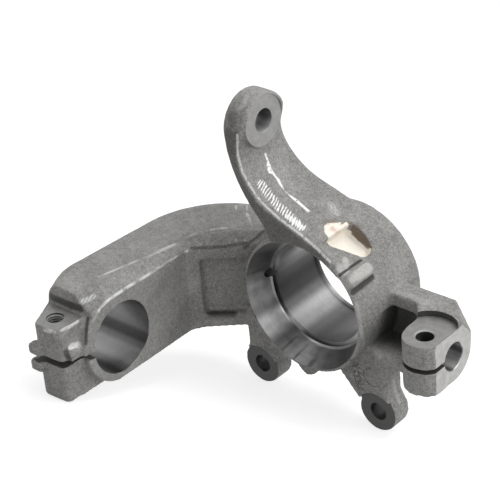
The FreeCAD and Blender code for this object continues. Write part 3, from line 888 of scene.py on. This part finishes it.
@dataclass
class StrutClamp:
    """The split clamp at the end of the long arm."""

    bore_at: Point = (0, -120.5, -10.0)
    bore_radius: float = 25.0
    face_x: float = -84.5
    back_x: float = -135.5
    slot_half: float = 2.5
    seat_z: float = 15.5
    bolt: Point = (-107.0, -155.5, 0)
    thread_radius: float = 6.0
    clear_radius: float = 6.2

    def stock(self) -> list[bmesh.types.BMesh]:
        """Solid pieces that close the bore, slot, seat and bolt hole before they are cut."""
        z = self.bore_at[2]
        return [
            rod(Axis.X, self.bore_at, self.back_x + 9.0, self.face_x, self.bore_radius + 1.2),
            slab((-113.5, -166.4, z - 4), (-93.4, -138, z + 4)),
            slab((-113.0, -166, self.seat_z - 3), (-94, -146.5, self.seat_z + 1.2)),
            rod(Axis.Z, self.bolt, -38.5, self.seat_z, self.clear_radius + 1.3),
        ]

    def cuts(self) -> list[Cut]:
        """Bore, slot, bolt seat and the two diameters of the pinch hole."""
        y, z = self.bore_at[1:]
        half, r = self.slot_half, self.bore_radius
        bore = [(self.back_x - 20, 0), (self.back_x - 20, r), (self.face_x - 0.4, r), (self.face_x + 0.5, r + 0.9),
                (self.face_x + 0.5, 0)]
        return [
            Cut(Surface.STRUT_BORE, lambda: lathe(Axis.X, self.bore_at, bore, 160)),
            Cut(Surface.SAWN, lambda: slab((-150, -190, z - half), (-70, y, z + half))),
            Cut(Surface.BOLT_SEAT, lambda: slab((-130, -175, self.seat_z), (-88, -144.6, self.seat_z + 4))),
            Cut(Surface.DRILLED, lambda: rod(Axis.Z, self.bolt, z, self.seat_z + 9, self.thread_radius)),
            Cut(Surface.DRILLED, lambda: rod(Axis.Z, self.bolt, -60, z, self.clear_radius)),
        ]


@dataclass
class TieEye:
    """The taper hole and its spot face at the top of the steering arm."""

    hole_at: Point = (0, -19.0, 116.5)
    face_x: float = -37.0
    back_x: float = -54.5
    spot_radius: float = 17.8
    spot_depth: float = 0.8
    small_radius: float = 6.6
    large_radius: float = 7.9

    def stock(self) -> list[bmesh.types.BMesh]:
        """Solid pieces that close the hole and the spot face before they are cut."""
        return [
            rod(Axis.X, self.hole_at, self.back_x, self.face_x - 1, self.large_radius + 1.2),
            rod(Axis.X, self.hole_at, self.face_x - 4, self.face_x + 0.4, self.spot_radius - 0.2),
        ]

    def cuts(self) -> list[Cut]:
        """The spot face, then the taper."""
        floor = self.face_x - self.spot_depth
        slope = (self.large_radius - self.small_radius) / 30
        start = self.face_x - 30
        wide = self.small_radius + slope * (floor - start)
        taper = [(start, 0), (start, self.small_radius), (floor - 0.3, wide), (floor + 0.3, wide + 0.5),
                 (floor + 0.3, 0)]
        return [
            Cut(Surface.TIE_SPOT, lambda: rod(Axis.X, self.hole_at, floor, self.face_x + 6, self.spot_radius, 96)),
            Cut(Surface.TAPER, lambda: lathe(Axis.X, self.hole_at, taper, 64)),
        ]


@dataclass
class RootRecess:
    """The metal that stays in front of the painted recess at the steering arm's root."""

    top: tuple = ((11.5, -33.0, 49.0), (-11.5, -33.0, 49.2), (-11.5, -11.9, 46.5), (11.5, -25.6, 45.0))
    floor: float = 41.0

    def stock(self) -> list[bmesh.types.BMesh]:
        """A wedge with a slanted top; its corners are placed along the recess, its depth and its height."""
        along, out = Vector(RootPaint.along), Vector(RootPaint.out)
        shape = bmesh.new()
        for side, y, height in self.top:
            for level in (height, self.floor):
                shape.verts.new(along * side + out * level + Vector((0, y, 0)))
        bmesh.ops.convex_hull(shape, input=shape.verts)
        return [shape]

    def cuts(self) -> list[Cut]:
        """Nothing is machined here."""
        return []


@dataclass
class StudClamp:
    """The split clamp for the ball-joint stud."""

    bore_at: Point = (0, -18.0, -11.0)
    bore_radius: float = 9.6
    face_x: float = 105.3
    slot_half: float = 1.7
    bolt: Point = (92.5, -30.4, 0)
    bolt_radius: float = 5.9
    seat_z: float = 6.8
    seat_radius: float = 19.0
    seat_y: float = -26.5
    seat_dip: float = 8.0
    ear_radius: float = 14.5

    def stock(self) -> list[bmesh.types.BMesh]:
        """Solid pieces that close the bore, slot, seat and bolt hole before they are cut."""
        z = self.bore_at[2]
        return [
            rod(Axis.X, self.bore_at, 80, self.face_x + 1.2, 17.2),
            rod(Axis.Z, self.bolt, z - 5, z + 5, self.ear_radius - 0.3),
            slab((79.5, -36, z - 4), (104.9, -20, z + 4)),
            slab((77.5, -28, self.seat_z - 3), (104.6, -8.7, 10.9)),
            rod(Axis.Z, self.bolt, -29.8, self.seat_z + 1.2, self.ear_radius - 0.3),
        ]

    def cuts(self) -> list[Cut]:
        """End face, bore, slot, bolt seat and the chamfered pinch hole."""
        y, z = self.bore_at[1:]
        half, r = self.slot_half, self.bolt_radius
        bore = [(70, 0), (70, self.bore_radius), (self.face_x - 0.5, self.bore_radius),
                (self.face_x + 0.5, self.bore_radius + 1.0), (self.face_x + 0.5, 0)]
        rim = [(self.seat_z - 0.9, 0), (self.seat_z - 0.9, r), (self.seat_z + 0.3, r + 1.2), (self.seat_z + 0.3, 0)]
        return [
            Cut(Surface.END_FACE, lambda: slab((self.face_x, -70, -60), (self.face_x + 20, 40, 40))),
            Cut(Surface.BOLT_SEAT, self.seat_tool),
            Cut(Surface.STUD_BORE, lambda: lathe(Axis.X, self.bore_at, bore, 96)),
            Cut(Surface.SAWN, lambda: slab((60, -60, z - half), (130, y, z + half))),
            Cut(Surface.DRILLED, lambda: rod(Axis.Z, self.bolt, -50, self.seat_z + 5, r)),
            Cut(Surface.END_FACE, lambda: lathe(Axis.Z, self.bolt, rim, 64)),
        ]


    def seat_tool(self) -> bmesh.types.BMesh:
        """The cutter of the bolt seat: round towards the arm, and open towards the front.

        Returns:
            The cutter, in millimetres.
        """
        reach, front, top = 30.0, -60.0, 30.0
        x, y, radius = self.bolt[0], self.seat_y, self.seat_radius
        open_y = y - self.seat_dip
        dip = math.asin(self.seat_dip / radius)
        outline = [(x + reach, front), (x + reach, open_y)]
        for step in range(SEAT_STEPS + 1):
            angle = -dip + (math.pi + 2 * dip) * step / SEAT_STEPS
            outline.append((x + radius * math.cos(angle), y + radius * math.sin(angle)))
        outline += [(x - reach, open_y), (x - reach, front)]
        shape = bmesh.new()
        face = shape.faces.new([shape.verts.new((px, py, self.seat_z)) for px, py in outline])
        grown = bmesh.ops.extrude_face_region(shape, geom=[face], use_keep_orig=True)["geom"]
        lifted = [item for item in grown if isinstance(item, bmesh.types.BMVert)]
        bmesh.ops.translate(shape, vec=(0, 0, top - self.seat_z), verts=lifted)
        bmesh.ops.recalc_face_normals(shape, faces=shape.faces)
        return shape


@dataclass
class CaliperLug:
    """One brake-caliper lug under the hub; side is 1 or -1."""

    side: int
    x: float = 49.8
    z: float = -71.0
    face_y: float = -26.5
    spot_radius: float = 15.2
    hole_radius: float = 6.3
    dish: tuple = (48.0, -43.0, 7.5, -28.1)

    def stock(self) -> list[bmesh.types.BMesh]:
        """Solid pieces that close the hole and the spot face before they are cut."""
        x = self.side * self.x
        inner, outer = x - 9, x + 8
        return [
            rod(Axis.Y, (x, 0, self.z), self.face_y - 1.3, -12.6, 13.7),
            slab((inner, -28.9, self.z + 8), (outer, -24, self.z + 17)),
        ]

    def cuts(self) -> list[Cut]:
        """The spot face and the bolt hole; the right lug also has a shallow round dish in its stem."""
        at = (self.side * self.x, 0, self.z)
        r = self.hole_radius
        hole = [(self.face_y - 0.4, 0), (self.face_y - 0.4, r + 0.7), (self.face_y + 0.4, r), (30, r), (30, 0)]
        cuts = [
            Cut(Surface.LUG_SPOT, lambda: rod(Axis.Y, at, -36, self.face_y, self.spot_radius, 96)),
            Cut(Surface.DRILLED, lambda: lathe(Axis.Y, at, hole, 64)),
        ]
        if self.side > 0:
            x, z, radius, floor = self.dish
            cuts.append(Cut(Surface.CAST, lambda: rod(Axis.Y, (x, 0, z), -31, floor, radius, 48)))
        return cuts


# The casting


@dataclass
class Casting:
    """The whole knuckle: a softened blank from the CAD solid, with every machined feature cut into it."""

    voxel: float = 1.0
    soften: int = 3
    triangles: int = 190000
    waves: tuple = ((0.11, 6.5, 0), (0.07, 2.4, 40))
    seams: Seams = Seams()
    features: list = field(default_factory=lambda: [BearingHub(), StrutClamp(), TieEye(), StudClamp(),
                                                    CaliperLug(1), CaliperLug(-1), RootRecess()])

    def blank(self) -> bpy.types.Object:
        """Copies the CAD mesh, closes its machined features and softens its edges.

        Returns:
            The blank as an object with one mesh.
        """
        shape = bmesh.new()
        shape.from_mesh(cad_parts[NODE].data)
        bmesh.ops.remove_doubles(shape, verts=shape.verts, dist=1e-6)
        shape.transform(TO_ROW.inverted())
        for feature in self.features:
            for stock in feature.stock():
                add_shape(shape, stock)
        obj = to_object("knuckle_detail", shape)
        remesh = obj.modifiers.new("grow", "REMESH")
        remesh.mode = "VOXEL"
        remesh.voxel_size = self.voxel * MM
        apply_modifiers(obj)
        self.soften_edges(obj)
        LOG.info("blank: %d faces", len(obj.data.polygons))
        return obj

    def soften_edges(self, obj: bpy.types.Object) -> None:
        """Rounds the blank's edges, raises the seams and gives the skin a slight unevenness.

        Args:
            obj: the blank.
        """
        shape = bmesh.new()
        shape.from_mesh(obj.data)
        keep_outer_shell(shape)
        for _ in range(self.soften):
            bmesh.ops.smooth_vert(shape, verts=shape.verts, factor=0.5, use_axis_x=True, use_axis_y=True,
                                  use_axis_z=True)
        shape.normal_update()
        ridges = [SeamRidge(mark, self.seams.height, self.seams.reach) for mark in (self.seams.strap, self.seams.arm)]
        to_mm = TO_ROW.inverted()
        for vert in shape.verts:
            at = to_mm @ vert.co
            rise = sum(height * noise.noise(at / width + Vector((shift, 0, 0))) for height, width, shift in self.waves)
            rise += max(ridge.lift(at) for ridge in ridges)
            vert.co += vert.normal * rise * MM
        shape.to_mesh(obj.data)
        shape.free()

    def machine(self, obj: bpy.types.Object) -> None:
        """Cuts every feature into the blank, one pass for each tool in the features' turns.

        Args:
            obj: the blank, with a material slot for each kind of surface.
        """
        turns = [feature.cuts() for feature in self.features]
        for number in range(max(len(cuts) for cuts in turns)):
            tools = bmesh.new()
            for cut in (cuts[number] for cuts in turns if number < len(cuts)):
                add_shape(tools, cut.tool(), cut.surface.value)
            tool = to_object("tool", tools)
            boolean = obj.modifiers.new("cut", "BOOLEAN")
            boolean.operation = "DIFFERENCE"
            boolean.solver = "MANIFOLD"
            boolean.material_mode = "INDEX"
            boolean.object = tool
            apply_modifiers(obj)
            bpy.data.objects.remove(tool)
            LOG.info("pass %d cut, %d faces", number + 1, len(obj.data.polygons))

    def thin(self, obj: bpy.types.Object) -> None:
        """Thins the cast skin's mesh, and leaves the machined faces and their rims as they are.

        Args:
            obj: the machined casting.
        """
        machined = {index for face in obj.data.polygons if face.material_index for index in face.vertices}
        group = obj.vertex_groups.new(name="skin")
        group.add([vert.index for vert in obj.data.vertices if vert.index not in machined], 1.0, "REPLACE")
        count = sum(len(face.vertices) - 2 for face in obj.data.polygons)
        thin = obj.modifiers.new("thin", "DECIMATE")
        thin.ratio = min(1.0, self.triangles / count)
        thin.vertex_group = group.name
        apply_modifiers(obj)
        obj.vertex_groups.clear()
        LOG.info("%d triangles, thinned to %d", count, len(obj.data.polygons))

    def shade(self, obj: bpy.types.Object) -> None:
        """Smooths the skin, and keeps the lines between finishes and the sharp edges crisp.

        Args:
            obj: the thinned casting.
        """
        shape = bmesh.new()
        shape.from_mesh(obj.data)
        bmesh.ops.dissolve_degenerate(shape, edges=shape.edges, dist=1e-6)
        for face in shape.faces:
            face.smooth = True
        for edge in shape.edges:
            faces = edge.link_faces
            mixed = len(faces) == 2 and faces[0].material_index != faces[1].material_index
            edge.smooth = not mixed and edge.calc_face_angle(0.0) < CRISP_ANGLE
        bmesh.ops.triangulate(shape, faces=[f for f in shape.faces if len(f.verts) > 4])
        shape.to_mesh(obj.data)
        shape.free()

    def build(self, looks: dict[Surface, bpy.types.Material]) -> bpy.types.Object:
        """Makes the casting and puts it in the CAD node's place.

        Args:
            looks: the material of each kind of surface.

        Returns:
            The finished piece.
        """
        obj = self.blank()
        for surface in Surface:
            obj.data.materials.append(looks[surface])
        self.machine(obj)
        self.thin(obj)
        self.shade(obj)
        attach(obj, "root")
        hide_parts(NODE)
        LOG.info("%s: %d faces", obj.name, len(obj.data.polygons))
        return obj


@dataclass
class PinchThread:
    """The thread turns in the upper ear of the strut clamp."""

    bolt: Point = (-107.0, -155.5, 0)
    low_z: float = -7.3
    high_z: float = 15.2
    core: float = 5.1
    root: float = 6.05
    pitch: float = 1.75
    steps: int = 36

    def build(self, looks: dict[Surface, bpy.types.Material]) -> bpy.types.Object:
        """Spins one tooth of the thread up the hole.

        Args:
            looks: the material of each kind of surface.

        Returns:
            The finished piece.
        """
        shape = bmesh.new()
        turns = (self.high_z - self.low_z) / self.pitch - 1
        half = self.pitch / 2
        centre = Vector((self.bolt[0], self.bolt[1], self.low_z + half))
        tooth = [(self.root, half * 0.94), (self.core, half * 0.16), (self.core, -half * 0.16),
                 (self.root, -half * 0.94)]
        verts = [shape.verts.new(centre + Vector((radius, 0, height))) for radius, height in tooth]
        face = shape.faces.new(verts)
        count = round(turns * self.steps)
        bmesh.ops.spin(shape, geom=[face], cent=centre, axis=(0, 0, 1), angle=math.tau * turns,
                       dvec=(0, 0, self.pitch / self.steps), steps=count, use_merge=False, use_duplicate=False)
        bmesh.ops.holes_fill(shape, edges=shape.edges)
        bmesh.ops.recalc_face_normals(shape, faces=shape.faces)
        # The thread takes the seat's material, whose painted shade darkens its upright faces.
        obj = to_object("pinch_thread", shape, looks[Surface.BOLT_SEAT])
        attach(obj, "root")
        LOG.info("%s: %.1f turns, %d faces", obj.name, turns, len(obj.data.polygons))
        return obj


# Studio


@dataclass
class Studio:
    """Pale floor, white surroundings, soft lights and the camera."""

    focal_px: float = 1719.26
    image_px: float = 500.0
    sensor_mm: float = 36.0
    eye: Point = (622.5, -750.2, 598.9)
    azimuth: float = 43.00
    elevation: float = 30.35
    roll: float = -5.03
    world_light: float = 0.34
    floor_glow: float = 0.76
    floor_seen: float = 0.38
    floor_bounce: float = 0.35
    lamps: tuple = (
        ("key", (0.3, 0.35, 1.9), 1.5, 29),
        ("side", (1.9, 0.0, 0.9), 1.2, 21),
        ("front", (0.2, -2.0, 0.25), 1.2, 6),
    )

    def camera(self) -> bpy.types.Object:
        """Sets the camera at the photograph's place and angle.

        Returns:
            The camera object.
        """
        az, el, roll = (math.radians(a) for a in (self.azimuth, self.elevation, self.roll))
        forward = Vector((-math.sin(az) * math.cos(el), math.cos(az) * math.cos(el), -math.sin(el)))
        right = Vector((math.cos(az), math.sin(az), 0))
        up = right.cross(forward)
        right, up = (right * math.cos(roll) + up * math.sin(roll), up * math.cos(roll) - right * math.sin(roll))
        turn = Matrix.Rotation(REST_TILT, 4, "X")
        basis = Matrix((right, up, -forward)).transposed().to_4x4()
        data = bpy.data.cameras.new("camera")
        data.sensor_width = self.sensor_mm
        data.lens = self.focal_px / self.image_px * self.sensor_mm
        data.clip_start = 0.01
        camera = bpy.data.objects.new("camera", data)
        camera.matrix_world = Matrix.Translation(turn @ (Vector(self.eye) * MM)) @ turn @ basis
        bpy.context.scene.collection.objects.link(camera)
        bpy.context.scene.camera = camera
        return camera

    def seen(self, g: Graph) -> bpy.types.NodeSocket:
        """1 for the rays that show the background: to the camera, in gloss and through glass."""
        paths = g.tree.nodes.new("ShaderNodeLightPath")
        return g.most(*(paths.outputs[name] for name in ("Is Camera Ray", "Is Glossy Ray", "Is Transmission Ray")))

    def floor(self, height: float) -> bpy.types.Object:
        """A wide pale floor.

        Args:
            height: its height in metres.

        Returns:
            The floor object.
        """
        shape = bmesh.new()
        bmesh.ops.create_circle(shape, cap_ends=True, segments=64, radius=30.0)
        bmesh.ops.translate(shape, vec=(0, 0, height), verts=shape.verts)
        mesh = bpy.data.meshes.new("floor")
        shape.to_mesh(mesh)
        shape.free()
        g = Graph("pale_floor")
        seen = self.seen(g)
        pale = g.blend(seen, (self.floor_bounce,) * 3 + (1,), (self.floor_seen,) * 3 + (1,))
        g.shade(Base_Color=pale, Roughness=0.9, Emission_Color=(1, 1, 1, 1),
                Emission_Strength=g.product(seen, self.floor_glow))
        mesh.materials.append(g.material)
        obj = bpy.data.objects.new("floor", mesh)
        bpy.context.scene.collection.objects.link(obj)
        return obj

    def surroundings(self) -> None:
        """White to the camera and in reflections, a soft even light on everything else."""
        world = bpy.data.worlds.new("studio")
        bpy.context.scene.world = world
        world.use_nodes = True
        tree = world.node_tree
        tree.nodes.clear()
        paths = tree.nodes.new("ShaderNodeLightPath")
        most = [tree.nodes.new("ShaderNodeMath") for _ in range(2)]
        for node in most:
            node.operation = "MAXIMUM"
        tree.links.new(paths.outputs["Is Camera Ray"], most[0].inputs[0])
        tree.links.new(paths.outputs["Is Glossy Ray"], most[0].inputs[1])
        tree.links.new(most[0].outputs[0], most[1].inputs[0])
        tree.links.new(paths.outputs["Is Transmission Ray"], most[1].inputs[1])
        strength = tree.nodes.new("ShaderNodeMapRange")
        tree.links.new(most[1].outputs[0], strength.inputs[0])
        strength.inputs[3].default_value = self.world_light
        strength.inputs[4].default_value = 1.0
        light = tree.nodes.new("ShaderNodeBackground")
        light.inputs["Color"].default_value = (1, 1, 1, 1)
        tree.links.new(strength.outputs[0], light.inputs["Strength"])
        out = tree.nodes.new("ShaderNodeOutputWorld")
        tree.links.new(light.outputs[0], out.inputs["Surface"])

    def lamp(self, name: str, place: Point, size: float, power: float) -> bpy.types.Object:
        """A square soft light that faces the origin.

        Args:
            name: the lamp's name.
            place: where it stands, in metres in the row frame.
            size: the side of the square, in metres.
            power: its power in watts.

        Returns:
            The lamp object.
        """
        data = bpy.data.lights.new(name, "AREA")
        data.shape = "SQUARE"
        data.size = size
        data.energy = power
        lamp = bpy.data.objects.new(name, data)
        lamp.location = place
        lamp.rotation_euler = (-Vector(place)).to_track_quat("-Z", "Y").to_euler()
        lamp.visible_glossy = False
        bpy.context.scene.collection.objects.link(lamp)
        return lamp

    def build(self, floor_height: float) -> None:
        """Sets the whole studio.

        Args:
            floor_height: where the part's lowest point is, in metres.
        """
        scene = bpy.context.scene
        scene.view_settings.view_transform = "Standard"
        self.camera()
        self.floor(floor_height)
        self.surroundings()
        for name, place, size, power in self.lamps:
            self.lamp(name, place, size, power)


def main() -> None:
    """Builds the part and the studio, and reports each piece."""
    logging.basicConfig(level=logging.INFO, format="%(name)s: %(message)s")
    looks = finishes()
    Studio().build(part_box(NODE)[0].z)
    Casting().build(looks)
    PinchThread().build(looks)


if __name__ == "__main__":
    main()
